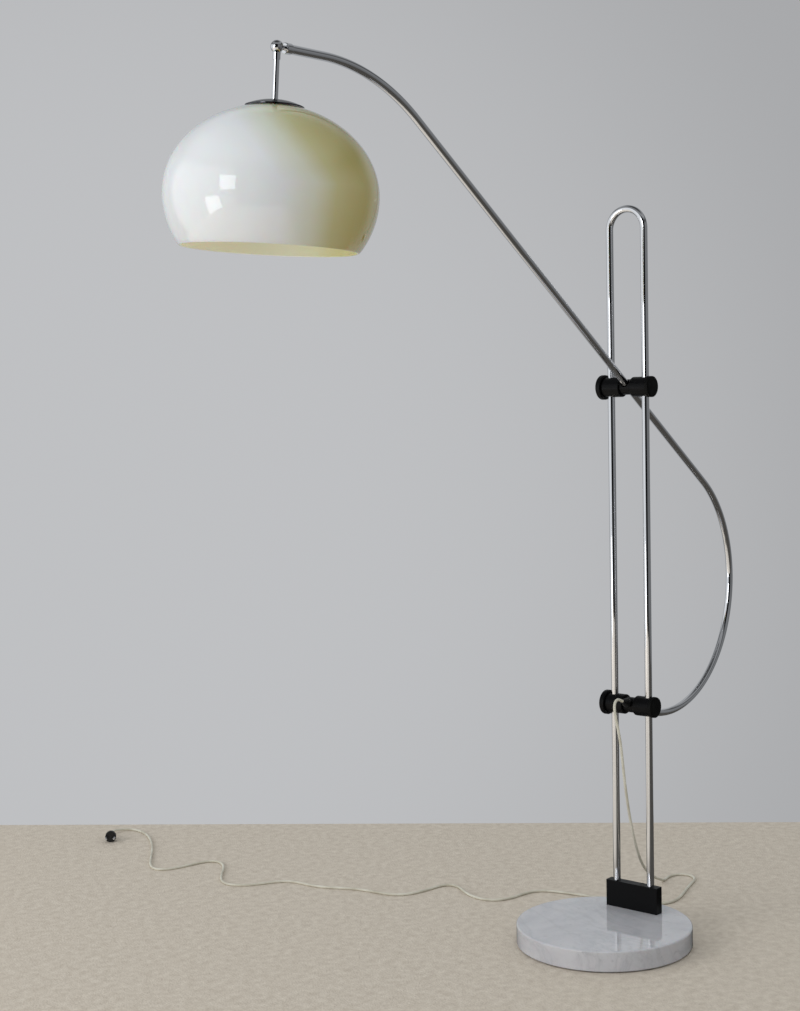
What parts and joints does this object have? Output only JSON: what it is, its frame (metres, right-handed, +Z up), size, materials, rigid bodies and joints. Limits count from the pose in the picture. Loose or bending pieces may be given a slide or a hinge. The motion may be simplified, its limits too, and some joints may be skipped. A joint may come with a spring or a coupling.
{
  "type": "arc floor lamp",
  "caption": "Arc floor lamp: a bent chrome arm with a domed opal shade, clamped between the legs of a hairpin stand on a round stone base.",
  "frame": {"origin": "on the floor, at the centre of the underside of the round base", "axes": "+Z up; the arm reaches towards -X from the hairpin stand, which stands on the +X side of the base; +Y on the side of the two clamping knobs"},
  "size_m": [1.5782, 1.6397, 1.6514],
  "materials": {
    "marble": "polished white stone with faint grey veins",
    "felt": "black felt",
    "steel": "plain zinc-plated",
    "black_metal": "satin near-black",
    "cap_metal": "matt near-black, finely knurled",
    "chrome": "mirror chrome",
    "brass": "plain",
    "nylon": "natural nylon",
    "flex": "off-white sheathing",
    "black_plastic": "black moulding",
    "satin_nickel": "satin nickel",
    "dark_chrome": "dark chrome",
    "opal": "glossy opal",
    "bulb_glass": "frosted"
  },
  "bodies": {
    "stand": {"marble_base": "marble", "felt_pad": "felt", "base_bolts": "steel", "base_washers": "steel", "foot_block": "black_metal", "hairpin_tube": "chrome", "leg_plugs": "steel", "cord_floor": "flex", "plug_body": "black_plastic", "plug_pins": "steel"},
    "lower_clamp": {"lower_knob_housing": "black_metal", "lower_cap_housing": "black_metal", "lower_end_cap": "cap_metal", "lower_friction_washers": "nylon", "lower_set_screws": "steel", "cord_drop": "flex"},
    "arm": {"arm_tube": "chrome", "arm_flex": "flex", "tail_strain_relief": "black_plastic", "tip_collar": "dark_chrome", "lower_arm_barrel": "black_metal"},
    "upper_clamp": {"upper_knob_housing": "black_metal", "upper_cap_housing": "black_metal", "upper_end_cap": "cap_metal", "upper_friction_washers": "nylon", "upper_set_screws": "steel"},
    "upper_barrel": {"upper_arm_barrel": "black_metal"},
    "upper_pad": {"upper_pressure_pad": "brass"},
    "upper_knob": {"upper_knob": "black_metal", "upper_knob_screw": "steel"},
    "lower_pad": {"lower_pressure_pad": "brass"},
    "lower_knob": {"lower_knob": "black_metal", "lower_knob_screw": "steel"},
    "neck": {"swivel_neck": "satin_nickel"},
    "stem": {"swivel_fork": "satin_nickel", "swivel_pivot": "steel", "stem_tube": "satin_nickel", "stem_flex": "flex"},
    "shade": {"shade_cap": "dark_chrome", "shade": "opal", "shade_washer": "steel", "shade_nut": "steel", "lampholder_body": "black_plastic", "lampholder_ring": "black_plastic", "bulb_cap": "steel", "bulb_glass": "bulb_glass"}
  },
  "joints": [
    {"name": "arm_height", "type": "slide", "parent": "stand", "child": "lower_clamp", "axis": [0, 0, 1], "range_m": [-0.25, 0.2], "deforming": ["cord_drop"]},
    {"name": "arm_tilt", "type": "hinge", "parent": "lower_clamp", "child": "arm", "pos_m": [0.112, 0, 0.465], "axis": [0, 1, 0], "range_deg": [-1, 6.5], "deforming": ["cord_drop"]},
    {"name": "upper_clamp_slide", "type": "slide", "parent": "lower_clamp", "child": "upper_clamp", "axis": [0, 0, 1], "range_m": [-0.0095, 0.0595]},
    {"name": "upper_barrel_turn", "type": "hinge", "parent": "upper_clamp", "child": "upper_barrel", "pos_m": [0.112, 0, 1.11], "axis": [0, 1, 0], "range_deg": [-1.05, 6.55]},
    {"name": "upper_pad_press", "type": "slide", "parent": "upper_clamp", "child": "upper_pad", "axis": [0, 1, 0], "range_m": [0, 0.00126]},
    {"name": "upper_knob_turn", "type": "hinge", "parent": "upper_pad", "child": "upper_knob", "pos_m": [0.112, 0.058, 1.11], "axis": [0, 1, 0], "range_deg": [0, 360]},
    {"name": "lower_pad_press", "type": "slide", "parent": "lower_clamp", "child": "lower_pad", "axis": [0, 1, 0], "range_m": [0, 0.00126]},
    {"name": "lower_knob_turn", "type": "hinge", "parent": "lower_pad", "child": "lower_knob", "pos_m": [0.112, 0.058, 0.465], "axis": [0, 1, 0], "range_deg": [0, 360]},
    {"name": "neck_turn", "type": "hinge", "parent": "arm", "child": "neck", "pos_m": [-0.87675, 0, 1.6412], "axis": [1, 0, 0], "range_deg": [-20, 20]},
    {"name": "shade_tilt", "type": "hinge", "parent": "neck", "child": "stem", "pos_m": [-0.87675, 0, 1.6412], "axis": [0, 0.9982, 0.0593], "range_deg": [-27, 40]},
    {"name": "shade_swivel", "type": "hinge", "parent": "stem", "child": "shade", "pos_m": [-0.87675, 0, 1.6412], "axis": [0.0332, -0.0593, 0.9977], "range_deg": [-180, 180]}
  ],
  "couplings": [
    {"joint": "upper_clamp_slide", "follows": "arm_tilt", "m_per_rad": 0.5178},
    {"joint": "upper_barrel_turn", "follows": "arm_tilt", "ratio": 1},
    {"joint": "upper_pad_press", "follows": "upper_knob_turn", "m_per_rad": 0.00019894},
    {"joint": "lower_pad_press", "follows": "lower_knob_turn", "m_per_rad": 0.00019894}
  ]
}
